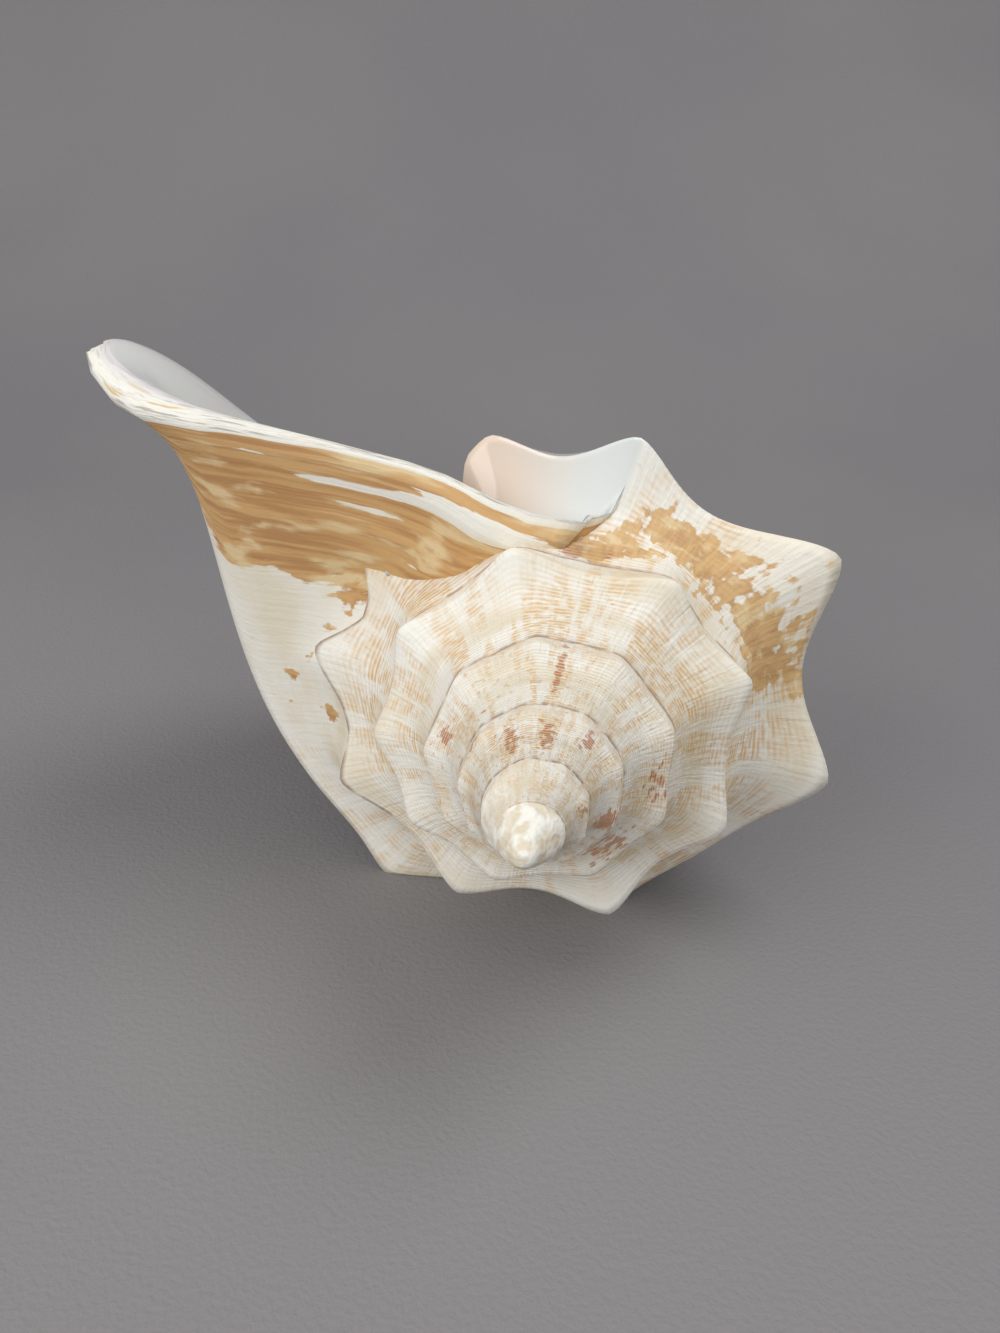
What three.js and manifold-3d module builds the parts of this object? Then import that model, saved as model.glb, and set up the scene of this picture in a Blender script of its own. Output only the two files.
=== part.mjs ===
// A large conch shell, lying on its back with the mouth up, as one solid.
// Millimetres, +Z up, standing on Z = 0.
//
// The shell is modelled in its own frame first: Z' runs along the coiling axis towards the apex, which is at the
// origin, Y' points up out of the mouth side and X' to the right as seen from the apex. It coils clockwise as seen
// from the apex, so growth is measured in turns t, clockwise from straight up. Every whorl is a strip of the same
// profile, and the strips are stitched along the suture. The last turn carries the mouth, the thin flaring lip and
// the inner face behind it.
import * as THREE from "three";
import Module from "manifold-3d";

// Driving dimensions of the coil. A spine tip at turn t stands TIP_RADIUS * GROWTH^t from the axis.
const TIP_RADIUS = 42;
const TIP_DEPTH = 59; // depth of that tip below the apex, measured along the axis
const GROWTH = 1.554; // widening for each turn
const DEPTH_POWER = 0.8; // below 1, the spire is a little hollow in profile
const SUTURE_RADIUS = 37.6; // the seam below a whorl, at t = 0
const SUTURE_DEPTH = 65.6;
const KEEL_RADIUS = 0.87; // the shoulder between spines, as a share of the tip radius
const LATE_SLIM = 0.035; // the later whorls are this much slimmer between their spines than the early ones
const BODY_SLIM = 0.05; // the body whorl is slimmer again
const BODY_SWELL = 0.16; // and fills out by this much towards the lip
const BODY_DROP = 0.02; // its shoulder lies deeper underneath
const BODY_NARROW = 0.07; // and it narrows more below the shoulder
const START_ANGLE = -2.2; // degrees, the direction of t = 0
const SHELL_LENGTH = 218; // apex to the end of the canal, along the axis
const CANAL_RADIUS = 14; // outside radius of the canal's end
const CANAL_NOTCH = 15; // depth of the notch that opens the canal
const CANAL_BEND = 34; // how far the canal's end curls towards the back
const BEND_START = 118;

// The mouth: one turn lies between the start of the inner lip and the end of the outer lip.
const MOUTH_TURN = 1.06;
const LIP_TURN = MOUTH_TURN + 1;
const FLARE_TURN = 1.7; // where the wall leaves the coil and starts to flare
const FLARE_PULL = 0.8;
const CAVITY_TURNS = 0.86; // how far the hollow runs back round the axis
const WALL = 4.2; // thickness of the wall
const LIP_EDGE = 2.6; // thickness at the lip's edge
const CANAL_WALL = 2.2; // and at the canal's end
const EDGE_TURNS = 0.3; // over this part of a turn the wall thins towards the lip's edge
const HOLLOW_SPINES = 0.35; // share of a spine's reach that shows on the inner face
const RAMP_HOLLOW = 0.025; // how far the ramp sags between the seam and the keel
const BODY_FULLNESS = 1.2; // the body's profile towards the canal: 1 is straight, more is fuller
const NOTCH_TURNS = 0.14; // width of the notch on either side of the mouth's edges, in turns
const COLUMELLA_RISE = 40; // how fast the columella's end draws back into the hollow, for each turn
const SPINE_SHARPNESS = 2.6; // how late a spine rises on the ramp
const SPINE_AT_SEAM = 0.65; // its height at the lower seam, as a share of that on the keel
const SPINE_FOOT = 0.28; // where it has died out, beyond the lower seam
const SPINE_LEAN = 0.12; // how much it leans towards the apex
const COLUMELLA_RADIUS = 11;

// Grid sizes.
const COLUMNS_PER_TURN = 45;
const RAMP_ROWS = 7; // rows from the upper seam to the lower one
const KEEL_ROW = 5; // the row that runs along the keel
const KEEL_SHIFT = 5; // rows by which it moves over at the mouth
const BODY_ROWS = 13; // rows from the lower seam to the canal's end
const THIN_ROWS = 5; // rows over which the wall thins towards the canal's end
const FIRST_TURN = -3.94; // where the coil starts, under the worn tip of the apex
const APEX_DEPTH = 4;

// How the shell lies: the axis dips towards the canal, and is turned a little to the right.
const AXIS_DIP = 9.1;
const AXIS_YAW = 6.8;
const AXIS_ROLL = 4.7;
const FOOT_WEAR = 1; // depth of the worn flats on the two spines and the canal's end that it lies on

const DEGREES = Math.PI / 180;
const ROWS = RAMP_ROWS + BODY_ROWS;

// Spines: direction in degrees, reach beyond the keel as a share of the keel radius, and half width in degrees.
const SPINES = [
  ...[-480, -440, -400, -360, -320, -280, -240, -200].map((a) => [a, 0.1, 13]),
  [-160, 0.14, 13],
  [-122, 0.14, 13],
  [-88, 0.145, 13],
  [-51, 0.165, 13],
  [-8, 0.2, 13],
  [41, 0.19, 13],
  [77, 0.2, 13],
  [124, 0.19, 13],
  [165, 0.23, 13],
  [207, 0.19, 13],
  [250, 0.2, 12],
  [284, 0.2, 12],
  [316, 0.17, 11],
  [349, 0.22, 12],
  [379, 0.22, 12],
  [424, 0.33, 13],
  [471, 0.25, 13],
  [529, 0.075, 9],
  [579, 0.11, 9],
];

const mix = (a, b, f) => a + (b - a) * f;
const clamp = (x, low = 0, high = 1) => Math.min(high, Math.max(low, x));
const smooth = (low, high, x) => {
  const f = clamp((x - low) / (high - low));
  return f * f * (3 - 2 * f);
};
const mixPoint = (p, q, f) => p.map((x, i) => mix(x, q[i], f));
const add = (p, q, f = 1) => p.map((x, i) => x + q[i] * f);
const minus = (p, q) => p.map((x, i) => x - q[i]);

// The angle at turn t, clockwise from straight up, in radians.
const angleOf = (t) => START_ANGLE * DEGREES + t * 2 * Math.PI;

// How much a spine raises the keel at turn t, from 0 to its reach.
function spineAt(t) {
  const angle = angleOf(t) / DEGREES;
  let reach = 0;
  for (const [centre, height, width] of SPINES) {
    const away = Math.abs(angle - centre) / width;
    if (away < 3) reach += height * Math.exp(-Math.pow(away, 1.5));
  }
  return reach;
}

// The body whorl's departures from the plain coil: its girth, and the depth of its shoulder.
const girth = (t) =>
  1 - LATE_SLIM * smooth(-0.3, 0.1, t) - BODY_SLIM * smooth(0.93, 1.02, t) + BODY_SWELL * smooth(1.5, 1.78, t);
const drop = (t) => 1 + BODY_DROP * Math.exp(-Math.pow((t - 1.47) / 0.1, 2));

// The lower seam and the keel of the whorl at turn t, as [radius, depth]. The upper seam is that of the whorl before.
const seam = (t) => [
  SUTURE_RADIUS * GROWTH ** t * girth(t) * (1 - BODY_NARROW * smooth(1.05, 1.2, t)),
  SUTURE_DEPTH * GROWTH ** (DEPTH_POWER * t) * drop(t),
];
const keel = (t) => [
  TIP_RADIUS * KEEL_RADIUS * GROWTH ** t * girth(t),
  TIP_DEPTH * GROWTH ** (DEPTH_POWER * t) * drop(t),
];

// The coil's profile. w runs from 0 at the upper seam, through KEEL_AT at the keel, to 1 at the lower seam, and on
// to 2 at the canal's end.
const KEEL_AT = 0.72;
function coilProfile(t, w) {
  const top = seam(t - 1);
  const shoulder = keel(t);
  const bottom = seam(t);
  const inside = 1 - smooth(MOUTH_TURN - 0.02, MOUTH_TURN + 0.4, t); // 1 for the part that the mouth covers
  if (w <= KEEL_AT) {
    const f = w / KEEL_AT;
    const hollow = RAMP_HOLLOW * shoulder[0] * Math.sin(Math.PI * f);
    return [mix(top[0], shoulder[0], f) - hollow, mix(top[1], shoulder[1], f) + hollow];
  }
  if (w <= 1) return mixPoint(shoulder, bottom, (w - KEEL_AT) / (1 - KEEL_AT));
  const v = w - 1;
  const body = 1 - Math.pow(v, BODY_FULLNESS);
  const column = Math.pow(1 - v, 1.5) * (1 - 0.2 * v); // the columella, as the hollow shows it
  const share = mix(body, column, inside);
  const end = mix(COLUMELLA_RADIUS, CANAL_RADIUS, smooth(MOUTH_TURN, MOUTH_TURN + 0.5, t));
  const notch =
    CANAL_NOTCH * (1 - smooth(0, NOTCH_TURNS, Math.min(Math.abs(t - MOUTH_TURN), Math.abs(LIP_TURN - t))));
  const inward = t < MOUTH_TURN ? CANAL_NOTCH + COLUMELLA_RISE * (MOUTH_TURN - t) : notch;
  return [mix(end, bottom[0], share), mix(bottom[1], SHELL_LENGTH - inward, v)];
}

// How strongly the spine at turn t shows on the profile at w, strongest on the keel.
function spineShape(w) {
  if (w <= KEEL_AT) return Math.pow(w / KEEL_AT, SPINE_SHARPNESS);
  if (w <= 1) return mix(1, SPINE_AT_SEAM, (w - KEEL_AT) / (1 - KEEL_AT));
  return SPINE_AT_SEAM * Math.pow(clamp(1 - (w - 1) / SPINE_FOOT), 2);
}

// The last part of the seam climbs the older whorl, round its last spines: the seam's place on that whorl's profile
// at turn t. It crosses the keel CLIMB_COLUMNS columns after CLIMB_TURN.
const CLIMB = [
  [0.62, 1],
  [0.665, 0.72],
  [0.7, 0.7],
  [0.737, 0.66],
  [0.78, 0.7],
  [0.8, 0.7],
  [0.815, 0.64],
  [0.83, 0.59],
  [0.847, 0.62],
  [0.862, 0.69],
  [0.872, 0.7],
  [0.888, 0.63],
  [0.897, 0.48],
  [0.92, 0.25],
  [0.948, 0.12],
  [0.974, 0.19],
  [1.015, 0.17],
  [1.04, 0.26],
  [1.06, 0.4],
];
const CLIMB_TURN = CLIMB[0][0];
const CLIMB_COLUMNS = RAMP_ROWS - KEEL_ROW;
const WALL_BASE = 0.1; // width on the profile of the strip that the wall stands on

function seamPlace(t) {
  const next = CLIMB.findIndex(([turn]) => turn > t);
  if (next === 0) return 1;
  if (next < 0) return CLIMB[CLIMB.length - 1][1];
  const [t0, w0] = CLIMB[next - 1];
  const [t1, w1] = CLIMB[next];
  return mix(w0, w1, (t - t0) / (t1 - t0));
}

// The share of a spine that shows at w. Where the seam has climbed over the keel, the spine ends at the seam: its
// hidden flank would stand through the wall of the next whorl.
function spineShown(t, w) {
  const climbing = smooth(0.66, 0.7, t) * (1 - smooth(0.93, 0.96, t));
  if (climbing === 0) return 1;
  const seamAt = seamPlace(t);
  return 1 - climbing * smooth(seamAt, seamAt + WALL_BASE, w);
}

// A point of the coil in the shell's own frame, with the given share of its spines.
function coilPoint(t, w, spines = 1) {
  let [radius, depth] = coilProfile(t, w);
  const rise = spines * spineAt(t) * spineShape(w) * spineShown(t, w);
  radius *= 1 + rise;
  depth -= rise * SPINE_LEAN * radius;
  const a = angleOf(t);
  return bend([radius * Math.sin(a), radius * Math.cos(a), -depth]);
}

function bend([x, y, z]) {
  const f = clamp((-z - BEND_START) / (SHELL_LENGTH - BEND_START), 0, 1.2);
  return [x, y - CANAL_BEND * f * f, z];
}

// The lip's edge from the seam at the back of the mouth, round the corner that stands out most, to the canal:
// [right, up, depth] in the shell's own frame.
const LIP_EDGE_LINE = [
  [17, 50, 76],
  [7, 46, 71],
  [-8, 50, 66],
  [-21, 57, 65],
  [-39, 62, 67],
  [-68, 67, 73],
  [-86, 69, 78],
  [-103, 73, 84],
  [-114, 85, 94],
  [-111, 88, 103],
  [-104, 81, 120],
  [-98, 70, 136],
  [-89, 57, 152],
  [-76, 43, 167],
  [-60, 27, 181],
  [-42, 13, 193],
  [-24, 5, 201],
  [-9, 0, 205],
];
const LIP_CORNER = 8; // the point of that line where the keel ends
const lipCurve = new THREE.CatmullRomCurve3(
  LIP_EDGE_LINE.map(([right, up, depth]) => new THREE.Vector3(right, up, -depth)),
  false,
  "centripetal",
);

// The edge's point for the profile position w: the ramp ends on the back margin, the body on the outer margin.
function lipPoint(w) {
  const corner = LIP_CORNER / (LIP_EDGE_LINE.length - 1);
  const f = w <= KEEL_AT ? (w / KEEL_AT) * corner : mix(corner, 1, (w - KEEL_AT) / (2 - KEEL_AT));
  return lipCurve.getPoint(clamp(f)).toArray();
}

// Positions between [row, place] stops, and from the last stop to the canal's end at place 2.
function spread(stops) {
  const places = [];
  for (let j = 0; j <= ROWS; j++) {
    const next = stops.findIndex(([row]) => row >= j);
    const [lastRow, lastPlace] = stops[stops.length - 1];
    if (next < 0) places.push(mix(lastPlace, 2, Math.pow((j - lastRow) / (ROWS - lastRow), 1.15)));
    else if (next === 0) places.push(stops[0][1]);
    else {
      const [r0, w0] = stops[next - 1];
      const [r1, w1] = stops[next];
      places.push(mix(w0, w1, (j - r0) / (r1 - r0)));
    }
  }
  return places;
}

// The profile positions of the grid rows in column i. Where the seam has climbed above the keel, the keel lies in a
// row beyond the ramp's; it moves over one row at a time, along the diagonals of the grid.
function rowPlaces(i) {
  const first = Math.round((CLIMB_TURN - FIRST_TURN) * COLUMNS_PER_TURN);
  const mouth = Math.round((LIP_TURN - FIRST_TURN - 1) * COLUMNS_PER_TURN);
  const passed = i - mouth;
  if (passed > 0) return spread([[0, 0], [Math.max(KEEL_ROW, KEEL_ROW + KEEL_SHIFT - passed), KEEL_AT]]);
  const climbed = i - first;
  const seamAt = climbed === CLIMB_COLUMNS ? KEEL_AT : seamPlace(FIRST_TURN + i / COLUMNS_PER_TURN);
  const base = [RAMP_ROWS + 1, seamAt + WALL_BASE];
  if (climbed < CLIMB_COLUMNS) {
    const keelRow = KEEL_ROW + clamp(climbed, 0, CLIMB_COLUMNS);
    return spread([[0, 0], [keelRow, KEEL_AT], [RAMP_ROWS, seamAt], base]);
  }
  if (base[1] > KEEL_AT - WALL_BASE) return spread([[0, 0], [RAMP_ROWS, seamAt], base]);
  return spread([[0, 0], [RAMP_ROWS, seamAt], base, [KEEL_ROW + KEEL_SHIFT, KEEL_AT]]);
}

// Direction in which the wall runs out at the lip's edge, in the shell's own frame.
function flareDirection(w) {
  const atCorner = Math.exp(-Math.pow((w - KEEL_AT) / 0.4, 2));
  return mixPoint([-22, 34, 8], [-95, 50, 8], atCorner);
}

// A point of the flaring wall: it leaves the coil in its own direction and arrives at the lip's edge.
function flarePoint(t, w) {
  const step = 0.01;
  const span = LIP_TURN - FLARE_TURN;
  const from = coilPoint(FLARE_TURN, w);
  const leaving = minus(from, coilPoint(FLARE_TURN - step, w)).map((x) => (x / step) * span * FLARE_PULL);
  const to = lipPoint(w);
  const arriving = flareDirection(w);
  const f = (t - FLARE_TURN) / span;
  const f2 = f * f;
  const f3 = f2 * f;
  return from.map(
    (x, n) =>
      (2 * f3 - 3 * f2 + 1) * x +
      (f3 - 2 * f2 + f) * leaving[n] +
      (3 * f2 - 2 * f3) * to[n] +
      (f3 - f2) * arriving[n],
  );
}

// The outer surface's point at turn t and profile position w. The ramp starts from the seam's point, which lies on
// the older whorl.
function outerPoint(t, w, seamPoint, spines = 1) {
  const plain = t <= FLARE_TURN ? coilPoint : flarePoint;
  if (!seamPoint) return plain(t, w, spines);
  return add(plain(t, w, spines), minus(seamPoint, plain(t, 0)), Math.pow(1 - clamp(w / KEEL_AT), 2));
}

// Collects vertices and triangles of the one closed surface.
function shellGeometry() {
  const columns = Math.round((LIP_TURN - FIRST_TURN) * COLUMNS_PER_TURN);
  const turnOf = (i) => LIP_TURN - (columns - i) / COLUMNS_PER_TURN;
  const mouth = columns - COLUMNS_PER_TURN;
  const cavityColumns = Math.round(CAVITY_TURNS * COLUMNS_PER_TURN);
  const positions = [];
  const triangles = [];
  const vertex = (p) => positions.push(p) - 1;
  const face = (a, b, c) => {
    if (a !== b && b !== c && a !== c) triangles.push([a, c, b]);
  };
  const quad = (a, b, c, d) => {
    face(a, b, c);
    face(a, c, d);
  };

  // Outer surface. Row 0 of a column is the last ramp row of the column one turn before it.
  const outer = [];
  for (let i = 0; i <= columns; i++) {
    const t = turnOf(i);
    const last = i >= mouth - cavityColumns ? ROWS : RAMP_ROWS;
    const places = rowPlaces(i);
    const shared = i >= COLUMNS_PER_TURN ? outer[i - COLUMNS_PER_TURN][RAMP_ROWS] : undefined;
    const column = [shared ?? vertex(outerPoint(t, 0))];
    for (let j = 1; j <= last; j++) column.push(vertex(outerPoint(t, places[j], positions[shared])));
    outer.push(column);
  }
  for (let i = 0; i < columns; i++) {
    const covered = i < mouth;
    for (let j = 0; j < ROWS; j++) {
      if (j >= outer[i].length - 1 || j >= outer[i + 1].length - 1) continue;
      if (covered && j === RAMP_ROWS) continue; // the wall stands on this strip
      const corners = [outer[i][j], outer[i][j + 1], outer[i + 1][j + 1], outer[i + 1][j]];
      if (i >= mouth && i <= mouth + KEEL_SHIFT) corners.push(corners.shift());
      quad(...corners);
    }
  }

  // Inner face of the last wall, from the lip's edge back into the hollow. The spines are mostly filled inside.
  const smoothWall = [];
  for (let i = columns - cavityColumns - 1; i <= columns; i++) {
    const seamPoint = positions[outer[i][0]];
    smoothWall[i] = rowPlaces(i).map((w) => outerPoint(turnOf(i), w, seamPoint, HOLLOW_SPINES));
  }
  const normalAt = (i, j) => {
    const at = (ii, jj) => new THREE.Vector3(...smoothWall[ii][jj]);
    const alongTurn = at(Math.min(i + 1, columns), j).sub(at(i - 1, j));
    const alongRow = at(i, Math.min(j + 1, ROWS)).sub(at(i, Math.max(j - 1, 0)));
    return alongTurn.cross(alongRow).normalize();
  };
  const inner = [];
  for (let i = columns - cavityColumns; i <= columns; i++) {
    const t = turnOf(i);
    const column = [outer[i - COLUMNS_PER_TURN][RAMP_ROWS + 1]];
    for (let j = 1; j < ROWS; j++) {
      const toEdge = smooth(LIP_TURN - EDGE_TURNS, LIP_TURN, t);
      const toCanal = smooth(ROWS - THIN_ROWS, ROWS, j);
      const wall = mix(mix(WALL, LIP_EDGE, toEdge), CANAL_WALL, toCanal);
      const normal = normalAt(i, j).toArray();
      column.push(vertex(add(smoothWall[i][j], normal, -wall)));
    }
    column.push(outer[i - COLUMNS_PER_TURN][ROWS]);
    inner.push(column);
  }
  for (let n = 0; n < inner.length - 1; n++)
    for (let j = 0; j < ROWS; j++) quad(inner[n][j], inner[n + 1][j], inner[n + 1][j + 1], inner[n][j + 1]);

  // The lip's rim, from the outer face to the inner one.
  const edge = outer[columns];
  const inside = inner[inner.length - 1];
  for (let j = 0; j < ROWS; j++) quad(edge[j], edge[j + 1], inside[j + 1], inside[j]);

  // The hollow's blind end: a ladder between the inner face and the columella.
  const deepWall = inner[0];
  const deepColumn = outer[columns - cavityColumns - COLUMNS_PER_TURN].slice(RAMP_ROWS + 1);
  let a = 0;
  let b = 0;
  while (a < deepWall.length - 1 || b < deepColumn.length - 1) {
    const wallFirst = (a + 1) / deepWall.length <= (b + 1) / deepColumn.length;
    if (b >= deepColumn.length - 1 || (wallFirst && a < deepWall.length - 1)) {
      face(deepWall[a], deepWall[a + 1], deepColumn[b]);
      a++;
    } else {
      face(deepWall[a], deepColumn[b + 1], deepColumn[b]);
      b++;
    }
  }

  // The canal's end and the apex, each closed by a fan.
  const fan = (loop, centre) => {
    const middle = vertex(centre);
    loop.forEach((v, n) => face(v, loop[(n + 1) % loop.length], middle));
  };
  const canalLoop = outer.slice(mouth).map((column) => column[ROWS]);
  fan(canalLoop.reverse(), bend([0, 0, -(SHELL_LENGTH - CANAL_NOTCH * 0.8)]));
  const apexLoop = [];
  for (let i = 0; i < COLUMNS_PER_TURN; i++) apexLoop.push(outer[i][0]);
  for (let j = RAMP_ROWS; j > 0; j--) apexLoop.push(outer[0][j]);
  fan(apexLoop, [0, 0, -APEX_DEPTH]);

  const geometry = new THREE.BufferGeometry();
  geometry.setAttribute("position", new THREE.Float32BufferAttribute(positions.flat(), 3));
  geometry.setIndex(triangles.flat());
  return geometry;
}

// Lays the shell down, cuts the worn flats it lies on, and stands it on Z = 0, centred in X and Y.
async function layDown(geometry) {
  const turn = new THREE.Matrix4().makeRotationZ(-AXIS_YAW * DEGREES);
  turn.multiply(new THREE.Matrix4().makeRotationX((90 - AXIS_DIP) * DEGREES));
  turn.multiply(new THREE.Matrix4().makeRotationZ(AXIS_ROLL * DEGREES));
  geometry.applyMatrix4(turn);
  geometry.computeBoundingBox();
  const { min, max } = geometry.boundingBox;
  geometry.translate(-(min.x + max.x) / 2, -(min.y + max.y) / 2, -min.z - FOOT_WEAR);
  const wasm = await Module();
  wasm.setup();
  const solid = new wasm.Manifold(
    new wasm.Mesh({
      numProp: 3,
      vertProperties: geometry.attributes.position.array,
      triVerts: Uint32Array.from(geometry.index.array),
    }),
  );
  const worn = solid.trimByPlane([0, 0, 1], 0).getMesh();
  const laid = new THREE.BufferGeometry();
  laid.setAttribute("position", new THREE.Float32BufferAttribute(worn.vertProperties, 3));
  laid.setIndex(Array.from(worn.triVerts));
  return laid;
}

const shellMaterial = new THREE.MeshStandardMaterial({ color: 0xe9dcc6, roughness: 0.55, metalness: 0 });
const shell = new THREE.Mesh(await layDown(shellGeometry()), shellMaterial);
shell.name = "conch_shell";

const conch = new THREE.Group();
conch.add(shell);
export default conch;
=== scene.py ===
"""A large conch shell lying on its back with its mouth up, seen from the apex of its spire.

The shell's surface is one closed mesh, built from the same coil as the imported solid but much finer. All
lengths of the shell itself are in millimetres until the mesh is made. It is modelled in its own frame: Z is
along the coiling axis towards the apex, which is at the origin, Y is up out of the mouth side, and X is to
the right as seen from the apex. Growth is measured in turns, clockwise from straight up as seen from the
apex. The places on a whorl's profile run from 0 at the upper seam, over the keel at KEEL_AT, to 1 at the
lower seam and 2 at the canal's end.
"""

import math

import bpy
import numpy as np
from mathutils import Matrix, Vector


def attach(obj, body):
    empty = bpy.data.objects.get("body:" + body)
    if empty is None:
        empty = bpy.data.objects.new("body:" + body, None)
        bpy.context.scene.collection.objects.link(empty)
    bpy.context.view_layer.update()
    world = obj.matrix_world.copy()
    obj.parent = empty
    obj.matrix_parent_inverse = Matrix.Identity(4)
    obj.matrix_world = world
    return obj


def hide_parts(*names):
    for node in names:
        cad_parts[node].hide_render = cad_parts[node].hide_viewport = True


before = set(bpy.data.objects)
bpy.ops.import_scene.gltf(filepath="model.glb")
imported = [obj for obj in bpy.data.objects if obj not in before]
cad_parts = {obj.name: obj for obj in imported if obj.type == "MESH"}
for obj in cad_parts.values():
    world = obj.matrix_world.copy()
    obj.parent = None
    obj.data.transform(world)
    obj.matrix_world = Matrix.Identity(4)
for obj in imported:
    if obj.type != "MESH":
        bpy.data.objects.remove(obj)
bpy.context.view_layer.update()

# The coil. A spine tip at turn t stands about TIP_RADIUS * GROWTH ** t from the axis.
TIP_RADIUS = 42.0
TIP_DEPTH = 59.0  # depth of that tip below the apex, along the axis
GROWTH = 1.554  # widening for each turn
DEPTH_POWER = 0.8  # below 1, the spire is a little hollow in profile
SEAM_RADIUS = 37.6  # the seam below a whorl, at turn 0
SEAM_DEPTH = 65.6
KEEL_RADIUS = 0.87  # the shoulder between spines, as a share of the tip radius
KEEL_AT = 0.72
RAMP_HOLLOW = 0.025  # how far the ramp sags between the seam and the keel
LATE_SLIM = 0.035  # the later whorls are this much slimmer between their spines than the early ones
BODY_SLIM = 0.05  # the body whorl is slimmer again
BODY_SWELL = 0.16  # and fills out by this much towards the lip
BODY_DROP = 0.02  # its shoulder lies deeper underneath
BODY_NARROW = 0.07  # and it narrows more below the shoulder
BODY_FULLNESS = 1.2  # its profile towards the canal: 1 is straight, more is fuller
START_ANGLE = math.radians(-2.2)  # the direction of turn 0
SHELL_LENGTH = 218.0  # apex to the end of the canal, along the axis
CANAL_RADIUS = 14.0  # outside radius of the canal's end
CANAL_NOTCH = 15.0  # depth of the notch that opens the canal
NOTCH_TURNS = 0.14  # width of the notch on either side of the mouth's edges
CANAL_BEND = 34.0  # how far the canal's end curls towards the back
BEND_START = 118.0
COLUMELLA_RADIUS = 11.0
COLUMELLA_RISE = 40  # how far the columella's end draws back into the hollow for each turn

# The mouth: one turn lies between the start of the inner lip and the end of the outer lip.
MOUTH_TURN = 1.06
LIP_TURN = MOUTH_TURN + 1
FLARE_TURN = 1.7  # where the wall leaves the coil and starts to flare
FLARE_PULL = 0.8
BODY_FLARE = np.array([-22.0, 34.0, 8.0])  # how the wall arrives at the lip's edge along the body
CORNER_FLARE = np.array([-95.0, 50.0, 8.0])  # and at the lip's corner
CAVITY_TURNS = 0.86  # how far the hollow runs back round the axis
WALL = 4.2  # thickness of the wall
LIP_EDGE = 2.6  # thickness at the lip's edge
EDGE_TURNS = 0.3  # over this part of a turn the wall thins towards the lip's edge
CANAL_WALL = 2.2  # thickness at the canal's end
THIN_ROWS = 20  # rows over which the wall thins towards it
SEAM_WALL = 0.1  # thickness at the seam
SEAM_GAIN = 0.5  # and how fast it grows away from the seam
LEAST_WALL = 0.6  # the inner face is never nearer to the outer one than this
LEAST_GAIN = 0.4  # or, close to the seam, than this share of the distance from it
HOLLOW_SPINES = 0.35  # share of a spine's reach that shows on the inner face

# Where the last whorl's seam climbs the whorl before it: the turn on that whorl, and the place.
CLIMB = np.array([
    (0.62, 1), (0.653, 0.72), (0.7, 0.7), (0.737, 0.66), (0.78, 0.7), (0.8, 0.7), (0.815, 0.64),
    (0.83, 0.59), (0.847, 0.62), (0.862, 0.69), (0.872, 0.7), (0.888, 0.63), (0.897, 0.48),
    (0.92, 0.25), (0.948, 0.12), (0.974, 0.19), (1.015, 0.17), (1.04, 0.26), (1.06, 0.46),
])
WALL_BASE = 0.1  # width on the profile of the strip that the wall stands on
COVERED_SINK = 0.12  # beyond that strip the older whorl is sunk by this share of its radius

# Spines: direction in degrees, reach beyond the keel as a share of its radius, half width in degrees.
SPINES = [(angle, 0.06, 12) for angle in range(-1080, -519, 40)] + [
    (angle, 0.1, 13) for angle in range(-480, -199, 40)
] + [
    (-160, 0.14, 13), (-122, 0.14, 13), (-88, 0.145, 13), (-51, 0.165, 13), (-8, 0.2, 13), (41, 0.19, 13),
    (77, 0.2, 13), (124, 0.19, 13), (165, 0.23, 13), (207, 0.19, 13), (250, 0.2, 12), (284, 0.2, 12),
    (316, 0.17, 11), (349, 0.22, 12), (379, 0.22, 12), (424, 0.33, 13), (471, 0.23, 13), (529, 0.075, 9),
    (579, 0.11, 9),
]
SPINE_SHARPNESS = 2.6  # how late a spine rises on the ramp
SPINE_AT_SEAM = 0.65  # its height at the lower seam, as a share of that on the keel
SPINE_FOOT = 0.28  # where it has died out, beyond the lower seam
SPINE_LEAN = 0.12  # how much it leans towards the apex

# The lip's edge from the back of the mouth to the canal: right, up, depth.
LIP_LINE = np.array([
    (16.7, 47.9, 79.2), (12, 46.5, 75.5), (7, 46, 71), (-8, 50, 66), (-21, 57, 65), (-39, 62, 67),
    (-68, 67, 73), (-86, 69, 78), (-103, 73, 84), (-112.6, 85, 94), (-111, 88, 103), (-104, 81, 120),
    (-98, 70, 136), (-89, 57, 152), (-76, 43, 167), (-60, 27, 181), (-42, 13, 193), (-24, 5, 201),
    (-9, 0, 205),
], float) * (1, 1, -1)
LIP_CORNER = 9  # the point of that line where the keel ends
EDGE_WEAR = 0.9  # depth of the wear along the edge
RIM_ROUNDNESS = 0.8  # how far the rim stands out, as a share of half its thickness
RIM_POINTS = 3  # at its two ends, this many rows of the rim aren't rounded

# The worn apex.
WORN_RADIUS = 5.5  # fully worn within this radius, and not at all beyond twice it
APEX_ROUND = 7.5  # depth of the dome on the axis: the more, the blunter
APEX_SLOPE = 0.94  # depth of its flank, as a share of the seams'
APEX_LEAN = 4.5  # how far it leans to the back
LEAN_DEPTH = 34.0  # and the depth at which the lean has ended

# How the shell lies, and where its apex is then, in millimetres.
AXIS_DIP = 9.1
AXIS_YAW = 6.8
AXIS_ROLL = 4.7
APEX_POINT = (13.46, -106.41, 80.75)

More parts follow.
